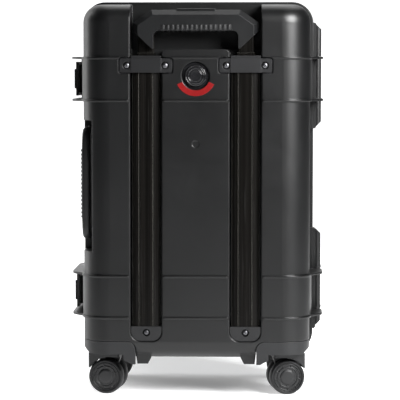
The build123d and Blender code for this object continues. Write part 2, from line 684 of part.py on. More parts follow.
def wheel(side):
    """One wheel with a rounded tyre, a dished face and a raised cap; side -1 or 1 of the swivel line."""
    inner, outer = WHEEL_INNER, WHEEL_OUTER
    profile = [(0, 18), (AXLE_R + RUN_FIT, 18), (AXLE_R + RUN_FIT, inner), (WHEEL_R - 2, inner),
               (WHEEL_R, inner + 3), (WHEEL_R, outer - 5), (WHEEL_R - 4, outer), (20.0, outer),
               (19.2, outer - 1.6), (15.0, outer - 1.6), (14.0, outer - 0.4), (0, outer - 0.4)]
    section = make_face(Polyline(*profile, close=True))
    solid = revolve(section, Axis.Y)
    turned = solid if side > 0 else Rot(180, 0, 0) * solid
    return Pos(TRAIL, 0, WHEEL_R) * turned


# --- write every piece --------------------------------------------------------------------------------
def all_pieces():
    pieces = {
        "base_shell": base_shell(),
        "lid_shell": lid_shell(),
        "lid_gasket": seal_ring(BODY_X + 3, BODY_X - 1, PART_Y + SEAM, PART_Y + SEAM + 3),
        "base_lining": lining(base_hollow, block(-200, 200, PART_Y - 3, PART_Y + 20, 0, 600)),
        "lid_lining": lining(lid_hollow, block(-200, 200, PART_Y - 20, PART_Y + SEAM + 3, 0, 600)),
        "hinge_pins": hinge_pins(),
        "latch_pins": latch_pins(),
        "side_handle": side_handle(),
        "side_handle_pins": side_handle_pins(),
        "trolley_grip": trolley_grip(),
        "grip_pad": grip_pad(),
        "release_button": release_button(),
        "bracket_screws": bracket_screws(),
        "foot_screws": foot_screws(),
        "valve_body": valve_body(),
        "valve_knob": valve_knob(),
        "valve_nut": valve_nut(),
        "valve_label": valve_label(),
        "base_housing_screws": housing_screws(-1),
        "lid_housing_screws": housing_screws(1),
    }
    for level, zs, middle in (("upper", HINGES[0], LATCH_Z[0]), ("lower", HINGES[1], LATCH_Z[1])):
        pieces[f"base_hinge_{level}"] = base_hinge(zs)
        pieces[f"lid_hinge_{level}"] = lid_hinge(zs)
        pieces[f"latch_{level}"] = latch(middle)
        pieces[f"latch_keeper_{level}"] = latch_keeper(middle)
    for side, x in (("left", -TROLLEY_X), ("right", TROLLEY_X)):
        pieces[f"outer_tube_{side}"] = outer_tube(x)
        pieces[f"middle_tube_{side}"] = tube(x, MIDDLE_TUBE, MIDDLE_TUBE_Z)
        pieces[f"inner_tube_{side}"] = tube(x, INNER_TUBE, INNER_TUBE_Z)
        pieces[f"release_rod_{side}"] = release_rod(x)
        pieces[f"tube_bracket_{side}"] = tube_bracket(x)
        pieces[f"tube_foot_{side}"] = tube_foot(x)
    for end, side_y in (("back", -1), ("front", 1)):
        for side, side_x in (("left", -1), ("right", 1)):
            place = f"{end}_{side}"
            pieces[f"housing_{place}"] = housing(side_x, side_y)
            pieces[f"fork_{place}"] = caster_place(place) * fork()
            pieces[f"axle_{place}"] = caster_place(place) * axle()
            pieces[f"wheel_{place}_a"] = caster_place(place) * wheel(-1)
            pieces[f"wheel_{place}_b"] = caster_place(place) * wheel(1)
    return pieces


os.makedirs("parts", exist_ok=True)
for name, shape in all_pieces().items():
    export_step(shape, f"parts/{name}.step")
print("pieces written:", len(os.listdir("parts")))
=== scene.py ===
# %% [markdown]
# # A rolling flight case
# The case is a hard-shell cabin trolley: two ribbed plastic halves, a telescopic trolley sunk into the back,
# a pressure valve, a carry handle, and four twin-wheel casters. Its shape and size are already fixed by the
# CAD frame. This lesson dresses that frame: it gives every part its real surface, and it models again the
# small pieces that need more detail than a solid model holds: wheels, screws, knob, pads, handle and linings.

# %% Load the frame
import bpy
import bmesh
import json
from math import copysign, cos, hypot, pi, radians, sin
from mathutils import Matrix, Vector, noise
from mathutils.bvhtree import BVHTree


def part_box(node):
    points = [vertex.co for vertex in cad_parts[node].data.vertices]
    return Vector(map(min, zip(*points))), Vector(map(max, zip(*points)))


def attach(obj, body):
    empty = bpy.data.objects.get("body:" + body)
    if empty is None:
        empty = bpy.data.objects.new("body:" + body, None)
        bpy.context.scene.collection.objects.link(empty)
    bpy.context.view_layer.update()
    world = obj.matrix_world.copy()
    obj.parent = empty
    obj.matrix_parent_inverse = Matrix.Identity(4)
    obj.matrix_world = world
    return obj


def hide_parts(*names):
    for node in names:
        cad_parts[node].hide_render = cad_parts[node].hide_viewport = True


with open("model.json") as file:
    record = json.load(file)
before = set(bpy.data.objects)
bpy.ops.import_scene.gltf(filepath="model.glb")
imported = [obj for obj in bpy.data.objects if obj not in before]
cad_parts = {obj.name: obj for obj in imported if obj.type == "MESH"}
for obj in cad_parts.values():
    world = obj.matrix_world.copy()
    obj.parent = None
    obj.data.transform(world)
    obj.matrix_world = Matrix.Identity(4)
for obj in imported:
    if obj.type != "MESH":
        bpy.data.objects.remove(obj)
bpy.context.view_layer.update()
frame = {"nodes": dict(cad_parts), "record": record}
nodes = frame["nodes"]
record = frame["record"]
scene = bpy.context.scene
MM = 0.001
slot_of = {part["node"]: part["material_slot"] for part in record["subparts"]}


def as_object(name, mesh):
    """Makes a bmesh an object at the origin and frees it."""
    data = bpy.data.meshes.new(name)
    mesh.to_mesh(data)
    mesh.free()
    shown = bpy.data.objects.new(name, data)
    scene.collection.objects.link(shown)
    return shown


# %% [markdown]
# ## The camera
# A catalogue view of luggage is taken from far away with a long lens, so the case's sides stay parallel.
# A camera could be placed by eye, but a direction, a distance and a lens are easier to reason about: the
# camera stands nearly straight behind the trolley side, about four degrees above the middle of the case.

# %% Camera
camera = bpy.data.objects.new("camera", bpy.data.cameras.new("camera"))
scene.collection.objects.link(camera)
aim = Vector((0.0021, 0.0, 0.2718))
turn, rise, distance = radians(2.056), radians(3.953), 2.894
away = Vector((sin(turn) * cos(rise), -cos(turn) * cos(rise), sin(rise)))
camera.location = aim + away * distance
camera.rotation_euler = (-away).to_track_quat("-Z", "Y").to_euler()
camera.data.sensor_width = 36.0
camera.data.lens = 178.08
camera.data.clip_start, camera.data.clip_end = 0.05, 50.0
scene.camera = camera
print("camera at", [round(v, 3) for v in camera.location])

# %% [markdown]
# ## Light and floor
# Black plastic shows its form by what it mirrors, not by its own colour, so where a lamp stands matters more
# than how strong it is. One softbox, in front on the right and above, draws the sheen down the rounded right
# edge. A tall strip behind on the left draws a thin bright edge there. A weak front light keeps the hollows
# from going black, and a broad softbox over the back lights the top and the floor. The world is nearly dark
# for the case and pale for the camera, so the background is clean and mirrors in nothing.

# %% Lamps
def lamp(name, place, aim_at, size, power):
    """A rectangular softbox that points at a place."""
    data = bpy.data.lights.new(name, "AREA")
    data.shape = "RECTANGLE"
    data.size, data.size_y = size
    data.energy = power
    shown = bpy.data.objects.new(name, data)
    scene.collection.objects.link(shown)
    shown.location = place
    shown.rotation_euler = (Vector(aim_at) - Vector(place)).to_track_quat("-Z", "Y").to_euler()
    return shown


AMBIENT = 0.02
middle = (0.0, 0.0, 0.28)
lamp("softbox_right", (0.85, -0.95, 0.95), (0.13, -0.1, 0.42), (0.65, 0.65), 46)
lamp("strip_left", (-1.3, 0.5, 0.75), middle, (0.3, 1.5), 6)
lamp("softbox_front", (-1.3, -2.6, 2.3), middle, (1.2, 1.2), 0.5)
lamp("softbox_top", (0.2, 1.0, 2.4), middle, (1.8, 1.8), 24)
world = bpy.data.worlds.new("studio")
scene.world = world
world.use_nodes = True
dim = world.node_tree.nodes["Background"]
dim.inputs["Color"].default_value = (0.93, 0.96, 1.0, 1.0)
dim.inputs["Strength"].default_value = AMBIENT
pale = world.node_tree.nodes.new("ShaderNodeBackground")
pale.inputs["Color"].default_value = (0.96, 0.965, 0.97, 1.0)
choice = world.node_tree.nodes.new("ShaderNodeMixShader")
path = world.node_tree.nodes.new("ShaderNodeLightPath")
world.node_tree.links.new(path.outputs["Is Camera Ray"], choice.inputs["Fac"])
world.node_tree.links.new(dim.outputs[0], choice.inputs[1])
world.node_tree.links.new(pale.outputs[0], choice.inputs[2])
world.node_tree.links.new(choice.outputs[0], world.node_tree.nodes["World Output"].inputs["Surface"])
scene.view_settings.view_transform = "Standard"

# %% Floor and backdrop
def swept_sheet(name, half_width, near, far, height, bend):
    """A floor that turns up into a backdrop through a quarter round."""
    line = [(near, 0.0), (far - bend, 0.0)]
    line += [(far - bend + bend * sin(a * pi / 40), bend - bend * cos(a * pi / 40)) for a in range(1, 21)]
    line.append((far, height))
    mesh = bmesh.new()
    rows = [[mesh.verts.new((x, y, z)) for y, z in line] for x in (-half_width, half_width)]
    for step in range(len(line) - 1):
        face = mesh.faces.new((rows[0][step], rows[1][step], rows[1][step + 1], rows[0][step + 1]))
        face.smooth = True
    shown = as_object(name, mesh)
    return shown


floor = swept_sheet("floor", 9.0, -9.0, 5.0, 7.0, 2.0)
print("floor faces", len(floor.data.polygons))

# %% [markdown]
# ## A small language for finishes
# Every surface is worked out by formulas from the piece's own coordinates, so nothing slides when a part
# moves. A material's node tree could be wired by hand, but the formulas would be lost in the wiring.
# A Field wraps one socket, so that adding or multiplying two Fields makes the Math node for it. A Finish is
# one material: its one method `node` makes any node, sets its options first and then its inputs.

# %% Fields and finishes
class Field:
    """One socket of a finish, which can be used in sums like a number."""

    def __init__(self, finish, socket):
        self.finish = finish
        self.socket = socket

    def maths(self, operation, *values):
        return self.finish.node("ShaderNodeMath", {"operation": operation}, dict(enumerate(values)))

    def __add__(self, other):
        return self.maths("ADD", self, other)

    def __sub__(self, other):
        return self.maths("SUBTRACT", self, other)

    def __rsub__(self, other):
        return self.maths("SUBTRACT", other, self)

    def __mul__(self, other):
        return self.maths("MULTIPLY", self, other)

    __radd__ = __add__
    __rmul__ = __mul__

    def ramp(self, low, high, start=0.0, end=1.0):
        """A smooth step from start to end while this field goes from low to high."""
        inputs = {"Value": self, "From Min": low, "From Max": high, "To Min": start, "To Max": end}
        return self.finish.node("ShaderNodeMapRange", {"interpolation_type": "SMOOTHSTEP"}, inputs)


class Finish:
    """One material with one Principled shader."""

    def __init__(self, name, constants):
        self.material = bpy.data.materials.new(name)
        self.material.use_nodes = True
        self.tree = self.material.node_tree
        self.shader = self.tree.nodes["Principled BSDF"]
        self.place = None
        for socket, value in constants.items():
            self.shader.inputs[socket].default_value = value

    def node(self, kind, settings, inputs, output=0):
        """Makes a node, sets its options, then sets or links its inputs; returns one output."""
        made = self.tree.nodes.new(kind)
        for option, value in settings.items():
            setattr(made, option, value)
        for socket, value in inputs.items():
            if isinstance(value, Field):
                self.tree.links.new(value.socket, made.inputs[socket])
            else:
                made.inputs[socket].default_value = value
        return Field(self, made.outputs[output])

    def spot(self):
        """The place on the piece, in metres."""
        if self.place is None:
            self.place = self.node("ShaderNodeTexCoord", {}, {}, "Object")
        return self.place

    def axis(self, name):
        """One coordinate of the place on the piece."""
        return self.node("ShaderNodeSeparateXYZ", {}, {0: self.spot()}, name)

    def stretched(self, x, y, z):
        """The place multiplied by a factor along each axis."""
        return self.node("ShaderNodeVectorMath", {"operation": "MULTIPLY"}, {0: self.spot(), 1: (x, y, z)})

    def cloud(self, per_metre, detail=2.0, roughness=0.5, where=None):
        """Noise around one half, with about so many blobs to the metre."""
        inputs = {"Vector": where or self.spot(), "Scale": per_metre, "Detail": detail,
                  "Roughness": roughness}
        return self.node("ShaderNodeTexNoise", {}, inputs)

    def cells(self, per_metre):
        """Distance to the nearest point of a random scatter, for pebbled grain."""
        inputs = {"Vector": self.spot(), "Scale": per_metre}
        return self.node("ShaderNodeTexVoronoi", {"feature": "SMOOTH_F1"}, inputs, "Distance")

    def blend(self, amount, first, second):
        """Colour between two colours; the Mix node's colour sockets are known by number only."""
        inputs = {0: amount, 6: first, 7: second}
        return self.node("ShaderNodeMix", {"data_type": "RGBA"}, inputs, 2)

    def soft_normal(self, radius):
        """The surface's direction with edges rounded over a small radius."""
        return self.node("ShaderNodeBevel", {"samples": 6}, {"Radius": radius})

    def edges(self, rounded):
        """High where the rounded direction leaves the true one: along edges and corners."""
        flat = self.node("ShaderNodeNewGeometry", {}, {}, "Normal")
        same = self.node("ShaderNodeVectorMath", {"operation": "DOT_PRODUCT"}, {0: rounded, 1: flat}, "Value")
        return (1.0 - same).ramp(0.01, 0.25)

    def relief(self, height, depth, rounded=None):
        """Feeds a height, from 0 to 1 and so deep in metres, to the shader's normal."""
        inputs = {"Height": height, "Distance": depth, "Strength": 1.0}
        if rounded is not None:
            inputs["Normal"] = rounded
        self.feed("Normal", self.node("ShaderNodeBump", {}, inputs))

    def feed(self, socket, value):
        self.tree.links.new(value.socket, self.shader.inputs[socket])


def shade(colour, factor):
    """A colour made darker or lighter."""
    return tuple(channel * factor for channel in colour) + (1.0,)


finishes = {}
print("finish tools ready")

# %% [markdown]
# ## Moulded plastic
# The halves, corner housings, brackets, grip and latches are injection-moulded. The steel mould is etched, so
# the plastic comes out with a fine pebbled grain, and it is never quite even: the gloss drifts where hands and
# shelves have rubbed it, thin scratches run mostly up and down, and sharp edges are polished a little lighter.
# One recipe serves all of them, with different grain, gloss and wear.

# %% Moulded plastic recipe
def moulded_plastic(name, colour, gloss, grain, deep, round_edge, wear):
    """Etched satin plastic; grain, deep and round_edge in millimetres, gloss is the mean roughness."""
    finish = Finish(name, {"IOR": 1.5, "Specular IOR Level": 0.5})
    rounded = finish.soft_normal(round_edge * MM)
    drift = finish.cloud(7.0, 3.0)
    rubbed = finish.cloud(38.0, 4.0, 0.6)
    scratch = finish.cloud(1.0, 2.0, 0.5, finish.stretched(900.0, 900.0, 26.0)).ramp(0.66, 0.74)
    scratch = scratch * finish.cloud(9.0, 1.0).ramp(0.5, 0.62)
    pebble = finish.cells(1000.0 / grain)
    dust = finish.cloud(2600.0, 1.0).ramp(0.62, 0.8)
    edge_wear = finish.edges(rounded) * finish.cloud(120.0, 3.0).ramp(0.35, 0.65) * wear
    tone = finish.blend(drift.ramp(0.3, 0.7), shade(colour, 0.86), shade(colour, 1.14))
    tone = finish.blend(edge_wear * 0.5, tone, shade(colour, 2.6))
    tone = finish.blend(scratch * 0.3 + dust * 0.12, tone, shade(colour, 2.0))
    finish.feed("Base Color", tone)
    dulled = gloss + (drift - 0.5) * 0.16 + (rubbed - 0.5) * 0.1 + scratch * 0.1
    finish.feed("Roughness", dulled - edge_wear * 0.08)
    finish.relief(pebble * 0.7 + rubbed * 0.6 - scratch * 0.3, deep * MM, rounded)
    finishes[name] = finish.material


MOULDED = {     # colour, gloss, then grain, depth of grain and rounding of edges in mm, then wear
    "shell": ((0.0022, 0.0023, 0.0025), 0.38, 0.6, 0.05, 2.0, 0.35),
    "housing": ((0.0090, 0.0093, 0.0101), 0.42, 0.5, 0.05, 1.0, 0.6),
    "fork": ((0.0070, 0.0073, 0.0080), 0.45, 0.5, 0.045, 0.7, 0.6),
    "bracket": ((0.0062, 0.0063, 0.0070), 0.40, 0.4, 0.03, 0.7, 0.6),
    "grip": ((0.0042, 0.0044, 0.0048), 0.36, 0.45, 0.035, 0.9, 0.5),
    "button": ((0.0042, 0.0044, 0.0048), 0.34, 0.4, 0.025, 0.7, 0.6),
    "hinge": ((0.0035, 0.0036, 0.0039), 0.40, 0.4, 0.03, 0.5, 0.7),
    "latch": ((0.0035, 0.0036, 0.0039), 0.36, 0.4, 0.03, 0.6, 0.7),
    "keeper": ((0.0040, 0.0041, 0.0044), 0.42, 0.4, 0.03, 0.5, 0.6),
    "handle": ((0.0035, 0.0036, 0.0040), 0.46, 0.7, 0.06, 0.6, 0.4),
    "wheel": ((0.0080, 0.0082, 0.0088), 0.40, 0.5, 0.03, 0.5, 0.5),
}
for name, recipe in MOULDED.items():
    moulded_plastic(name, *recipe)
print("moulded finishes", sorted(finishes))

# %% [markdown]
# ## Drawn and anodised tubes
# The trolley's tubes are aluminium pulled through a die and dyed black. The die leaves faint straight lines
# along the tube, so the gloss is broken across the tube and even along it. Noise that changes hundreds of
# times faster across the tube than along it gives those lines. Sliding leaves a few longer rub marks. The
# profile's edges are painted as thin light lines, a painted highlight.

# %% Anodised tube finish
def anodised_tube():
    constants = {"IOR": 1.45, "Specular IOR Level": 0.08, "Coat Weight": 0.01, "Coat Roughness": 0.12}
    finish = Finish("tube", constants)
    rounded = finish.soft_normal(0.5 * MM)
    lines = finish.cloud(1.0, 3.0, 0.7, finish.stretched(1500.0, 1500.0, 2.0))
    bands = finish.cloud(1.0, 1.0, 0.5, finish.stretched(260.0, 260.0, 0.6))
    rub = finish.cloud(1.0, 2.0, 0.5, finish.stretched(700.0, 700.0, 9.0)).ramp(0.62, 0.72)
    tone = finish.blend(bands.ramp(0.35, 0.65), (0.0028, 0.0026, 0.0023, 1.0), (0.0060, 0.0055, 0.0049, 1.0))
    # Painted highlight: every edge of the profile is painted as a thin light line.
    tone = finish.blend(finish.edges(rounded) * 0.9, tone, (0.16, 0.155, 0.14, 1.0))
    finish.feed("Base Color", finish.blend(rub * 0.25, tone, (0.03, 0.029, 0.028, 1.0)))
    finish.feed("Roughness", 0.24 + (bands - 0.5) * 0.14 + rub * 0.12)
    finish.relief(lines, 0.006 * MM, rounded)
    finishes["tube"] = finish.material


anodised_tube()
print("tube finish has", len(finishes["tube"].node_tree.nodes), "nodes")

# %% [markdown]
# ## Steel, gloss plastic, label, rubber and cloth
# Screws and pins are steel: fully metallic, with fine turning marks. The valve is polished plastic with a
# clear, hard shine. The label under it is red and a little uneven. Seal, grip pad and tyres are rubber, matt
# and dusty. The linings are woven: two crossed waves of threads, with slow wrinkles under them. The floor is
# paper that glows, and its glow is painted light. What the camera sees of it is brighter than what the case
# mirrors of it: round the case it glows to white, but in a patch under and behind the case the glow drops, a
# painted shadow on top of the real one. To the right, the glow that the case mirrors fades to dark, a painted
# dark reflection that keeps the case's right edge dark.

# %% Steel
def turned_steel(name, colour, gloss):
    finish = Finish(name, {"Metallic": 1.0})
    marks = finish.cloud(5200.0, 2.0)
    stain = finish.cloud(420.0, 3.0)
    finish.feed("Base Color", finish.blend(stain.ramp(0.3, 0.75), shade(colour, 0.8), shade(colour, 1.1)))
    finish.feed("Roughness", gloss + (marks - 0.5) * 0.1 + (stain - 0.5) * 0.14)
    finish.relief(marks, 0.006 * MM, finish.soft_normal(0.25 * MM))
    finishes[name] = finish.material


turned_steel("screw", (0.15, 0.15, 0.16), 0.36)
turned_steel("pin", (0.34, 0.34, 0.35), 0.3)
print("steel finishes", "screw" in finishes, "pin" in finishes)

# %% Gloss plastic and label
def gloss_plastic(name, colour, gloss, coat):
    finish = Finish(name, {"Coat Weight": coat, "Coat Roughness": 0.06, "IOR": 1.5})
    haze = finish.cloud(60.0, 3.0)
    specks = finish.cloud(2200.0, 1.0).ramp(0.66, 0.76)
    finish.feed("Base Color", finish.blend(haze.ramp(0.3, 0.7), shade(colour, 0.9), shade(colour, 1.1)))
    finish.feed("Roughness", gloss + (haze - 0.5) * 0.1 + specks * 0.15)
    finish.relief(haze * 0.6 + specks * 0.2, 0.012 * MM, finish.soft_normal(0.4 * MM))
    finishes[name] = finish.material


gloss_plastic("valve", (0.009, 0.009, 0.010), 0.2, 0.6)
gloss_plastic("label", (0.18, 0.0009, 0.0015), 0.36, 0.1)
print("gloss finishes", "valve" in finishes, "label" in finishes)

# %% Rubber
def rubber(name, colour, gloss, grain):
    finish = Finish(name, {"IOR": 1.48, "Specular IOR Level": 0.4})
    speck = finish.cells(1000.0 / grain)
    dust = finish.cloud(90.0, 4.0, 0.65)
    finish.feed("Base Color", finish.blend(dust.ramp(0.4, 0.75), shade(colour, 0.85), shade(colour, 1.5)))
    finish.feed("Roughness", gloss + (dust - 0.5) * 0.16)
    finish.relief(speck * 0.6 + dust * 0.4, 0.05 * MM, finish.soft_normal(0.5 * MM))
    finishes[name] = finish.material


rubber("gasket", (0.013, 0.013, 0.013), 0.72, 0.5)
rubber("grip_pad", (0.0040, 0.0041, 0.0045), 0.5, 0.45)
rubber("tyre", (0.0070, 0.0072, 0.0078), 0.50, 0.6)
print("finishes so far", len(finishes))

# %% Woven lining
def woven_lining():
    finish = Finish("lining", {"Sheen Weight": 0.35, "Sheen Roughness": 0.5, "Specular IOR Level": 0.25})
    waves = {"Scale": 150.0, "Distortion": 0.6}
    across = finish.node("ShaderNodeTexWave", {"bands_direction": "Z"},
                         {"Vector": finish.spot(), "Detail": 1.0, **waves}, "Fac")
    slanted = finish.node("ShaderNodeTexWave", {"bands_direction": "DIAGONAL"},
                          {"Vector": finish.stretched(1.0, 1.0, 0.02), **waves}, "Fac")
    threads = across.maths("MAXIMUM", across, slanted)
    folds = finish.cloud(16.0, 3.0, 0.6)
    tone = finish.blend(threads, (0.012, 0.012, 0.014, 1.0), (0.04, 0.04, 0.046, 1.0))
    finish.feed("Base Color", finish.blend(folds.ramp(0.35, 0.7) * 0.4, tone, (0.022, 0.022, 0.026, 1.0)))
    finish.feed("Roughness", 0.8 + (folds - 0.5) * 0.15)
    finish.relief(threads * 0.06 + folds * 1.6, 1.2 * MM)
    finishes["lining"] = finish.material


woven_lining()
print("lining finish has", len(finishes["lining"].node_tree.nodes), "nodes")

# %% Floor finish
def floor_with_painted_glow():
    """Paper whose glow paints a shadow and a reflection; places are in metres from the middle of the case."""
    finish = Finish("floor_with_painted_glow", {"Specular IOR Level": 0.2, "Emission Strength": 1.0})
    depth, across = finish.axis("Y"), finish.axis("X")
    # Painted reflection: the glow that lights the case and shows in it is bright in front and behind, and fades
    # to dark on the right.
    painted_reflection_glow = depth.ramp(-0.6, -0.2, 0.0, 0.48) + depth.ramp(0.2, 1.5, 0.0, 0.4)
    painted_reflection_glow = painted_reflection_glow * (across - depth * 0.12).ramp(0.32, 0.85, 1.0, 0.02)
    # Painted shadow: for the camera the floor glows white, except in a patch under and behind the case.
    behind = (depth - 0.3) * 0.33
    camera_glow_painted_shadow = 0.14 + (behind * behind + across * across).ramp(0.004, 0.05, 0.0, 0.82)
    # Camera rays get the painted shadow glow, and all other rays get the painted reflection glow.
    glow = painted_reflection_glow + finish.node("ShaderNodeLightPath", {}, {}, "Is Camera Ray") * (camera_glow_painted_shadow - painted_reflection_glow)
    finish.feed("Emission Color", finish.blend(glow, (0.0, 0.0, 0.0, 1.0), (1.0, 1.0, 1.0, 1.0)))
    paper = finish.cloud(900.0, 2.0)
    finish.feed("Base Color", finish.blend(paper, (0.86, 0.865, 0.87, 1.0), (0.9, 0.905, 0.91, 1.0)))
    finish.feed("Roughness", 0.75 + (paper - 0.5) * 0.1)
    return finish.material


floor.data.materials.append(floor_with_painted_glow())
print("finishes", len(finishes))

# %% [markdown]
# ## Dress the CAD nodes
# Each CAD node has one material slot, named after the record's slot. The mesh itself is never touched: only
# the material in its slot is exchanged for the finish of the same name.

# %% Dress the nodes
for name, shown in nodes.items():
    for material_slot in shown.material_slots:
        material_slot.material = finishes[slot_of[name]]
print("dressed", len(nodes), "nodes")

# %% [markdown]
# ## Tools for new pieces
# A new piece is a plain mesh whose object stays at the origin, so it shares the frame's coordinates. Three
# ways of making meshes cover nearly everything here: turning a profile on an axis, joining a row of sections,
# and repeating a small part with Geometry Nodes. Repeats are worked out once and stored as a plain mesh.

# %% Mesh helpers
def as_piece(name, mesh, materials, place=None):
    """A finished bmesh as an object at the origin, with outward normals."""
    bmesh.ops.remove_doubles(mesh, verts=mesh.verts, dist=1e-7)
    bmesh.ops.recalc_face_normals(mesh, faces=mesh.faces)
    if place is not None:
        mesh.transform(place)
    shown = as_object(name, mesh)
    shown.data.validate()
    for material in materials:
        shown.data.materials.append(finishes[material])
    return shown


def turned(profile, steps, paint=None):
    """A bmesh turned about Z from (radius, height) pairs; paint gives a material number by radius."""
    mesh = bmesh.new()
    rings = []
    for radius, height in profile:
        if radius < 1e-9:
            rings.append([mesh.verts.new((0.0, 0.0, height))])
            continue
        spokes = [2 * pi * step / steps for step in range(steps)]
        rings.append([mesh.verts.new((radius * cos(a), radius * sin(a), height)) for a in spokes])
    for (first, second), (start, end) in zip(zip(rings, rings[1:]), zip(profile, profile[1:])):
        for step in range(steps):
            following = (step + 1) % steps
            corners = [first[step % len(first)], second[step % len(second)],
                       second[following % len(second)], first[following % len(first)]]
            distinct = list(dict.fromkeys(corners))
            if len(distinct) < 3:
                continue
            face = mesh.faces.new(distinct)
            face.smooth = True
            if paint:
                face.material_index = paint((start[0] + end[0]) / 2)
    return mesh


def rounded_line(points, radius, steps):
    """A (radius, height) profile with the corners between its ends rounded."""
    line = [Vector(points[0])]
    for before, corner, after in zip(points, points[1:], points[2:]):
        corner = Vector(corner)
        back, ahead = Vector(before) - corner, Vector(after) - corner
        reach = min(radius, back.length * 0.45, ahead.length * 0.45)
        start, end = corner + back.normalized() * reach, corner + ahead.normalized() * reach
        for step in range(steps + 1):
            t = step / steps
            line.append(start * (1 - t) ** 2 + corner * 2 * t * (1 - t) + end * t * t)
    line.append(Vector(points[-1]))
    return [tuple(point) for point in line]


def loft(sections):
    """A closed bmesh skin through closed sections that have equally many points."""
    mesh = bmesh.new()
    rings = [[mesh.verts.new(point) for point in section] for section in sections]
    for first, second in zip(rings, rings[1:]):
        for step in range(len(first)):
            following = (step + 1) % len(first)
            mesh.faces.new((first[step], first[following], second[following], second[step])).smooth = True
    mesh.faces.new(rings[0])
    mesh.faces.new(list(reversed(rings[-1])))
    return mesh


def bevelled(mesh, width, segments):
    """Rounds all edges of a bmesh and shades it smooth."""
    bmesh.ops.bevel(mesh, geom=mesh.edges[:], offset=width, segments=segments, affect="EDGES", profile=0.5)
    for face in mesh.faces:
        face.smooth = True


def merge(target, extra):
    """Adds one bmesh to another and frees it."""
    data = bpy.data.meshes.new("merge")
    extra.to_mesh(data)
    extra.free()
    target.from_mesh(data)


print("mesh helpers ready")

# %% Geometry Nodes for repeats
def repeat_tree(name, extra_sockets):
    """A node group with named inputs that repeats a part and gives it a material."""
    tree = bpy.data.node_groups.new(name, "GeometryNodeTree")
    tree.interface.new_socket("Geometry", in_out="INPUT", socket_type="NodeSocketGeometry")
    tree.interface.new_socket("Part", in_out="INPUT", socket_type="NodeSocketObject")
    tree.interface.new_socket("Material", in_out="INPUT", socket_type="NodeSocketMaterial")
    for socket, kind in extra_sockets:
        tree.interface.new_socket(socket, in_out="INPUT", socket_type=kind)
    tree.interface.new_socket("Geometry", in_out="OUTPUT", socket_type="NodeSocketGeometry")
    given = tree.nodes.new("NodeGroupInput")
    part = tree.nodes.new("GeometryNodeObjectInfo")
    place = tree.nodes.new("GeometryNodeInstanceOnPoints")
    real = tree.nodes.new("GeometryNodeRealizeInstances")
    paint = tree.nodes.new("GeometryNodeSetMaterial")
    result = tree.nodes.new("NodeGroupOutput")
    tree.links.new(given.outputs["Part"], part.inputs["Object"])
    tree.links.new(part.outputs["Geometry"], place.inputs["Instance"])
    tree.links.new(place.outputs["Instances"], real.inputs["Geometry"])
    tree.links.new(real.outputs["Geometry"], paint.inputs["Geometry"])
    tree.links.new(given.outputs["Material"], paint.inputs["Material"])
    tree.links.new(paint.outputs["Geometry"], result.inputs["Geometry"])
    return tree, given, place


def ring_tree():
    """Repeats a part round Z, each copy turned to face outward."""
    sockets = (("Count", "NodeSocketInt"), ("Radius", "NodeSocketFloat"))
    tree, given, place = repeat_tree("ring_of_parts", sockets)
    circle = tree.nodes.new("GeometryNodeMeshCircle")
    index = tree.nodes.new("GeometryNodeInputIndex")
    share = tree.nodes.new("ShaderNodeMath")
    share.operation = "DIVIDE"
    angle = tree.nodes.new("ShaderNodeMath")
    angle.operation = "MULTIPLY"
    angle.inputs[1].default_value = 2 * pi
    about_z = tree.nodes.new("ShaderNodeCombineXYZ")
    tree.links.new(given.outputs["Count"], circle.inputs["Vertices"])
    tree.links.new(given.outputs["Radius"], circle.inputs["Radius"])
    tree.links.new(index.outputs[0], share.inputs[0])
    tree.links.new(given.outputs["Count"], share.inputs[1])
    tree.links.new(share.outputs[0], angle.inputs[0])
    tree.links.new(angle.outputs[0], about_z.inputs["Z"])
    tree.links.new(about_z.outputs[0], place.inputs["Rotation"])
    tree.links.new(circle.outputs["Mesh"], place.inputs["Points"])
    return tree


def row_tree():
    """Repeats a part along a straight line."""
    sockets = (("Count", "NodeSocketInt"), ("Start", "NodeSocketVector"), ("End", "NodeSocketVector"))
    tree, given, place = repeat_tree("row_of_parts", sockets)
    line = tree.nodes.new("GeometryNodeMeshLine")
    line.mode = "END_POINTS"
    tree.links.new(given.outputs["Count"], line.inputs["Count"])
    tree.links.new(given.outputs["Start"], line.inputs["Start Location"])
    tree.links.new(given.outputs["End"], line.inputs["Offset"])
    tree.links.new(line.outputs["Mesh"], place.inputs["Points"])
    return tree


def points_tree():
    """Repeats a part at the carrier's vertices; each copy is turned by Turn more than the last."""
    tree, given, place = repeat_tree("parts_at_points", (("Turn", "NodeSocketVector"),))
    index = tree.nodes.new("GeometryNodeInputIndex")
    turned_by = tree.nodes.new("ShaderNodeVectorMath")
    turned_by.operation = "SCALE"
    tree.links.new(given.outputs["Turn"], turned_by.inputs[0])
    tree.links.new(index.outputs[0], turned_by.inputs["Scale"])
    tree.links.new(turned_by.outputs[0], place.inputs["Rotation"])
    tree.links.new(given.outputs["Geometry"], place.inputs["Points"])
    return tree


RING, ROW, POINTS = ring_tree(), row_tree(), points_tree()


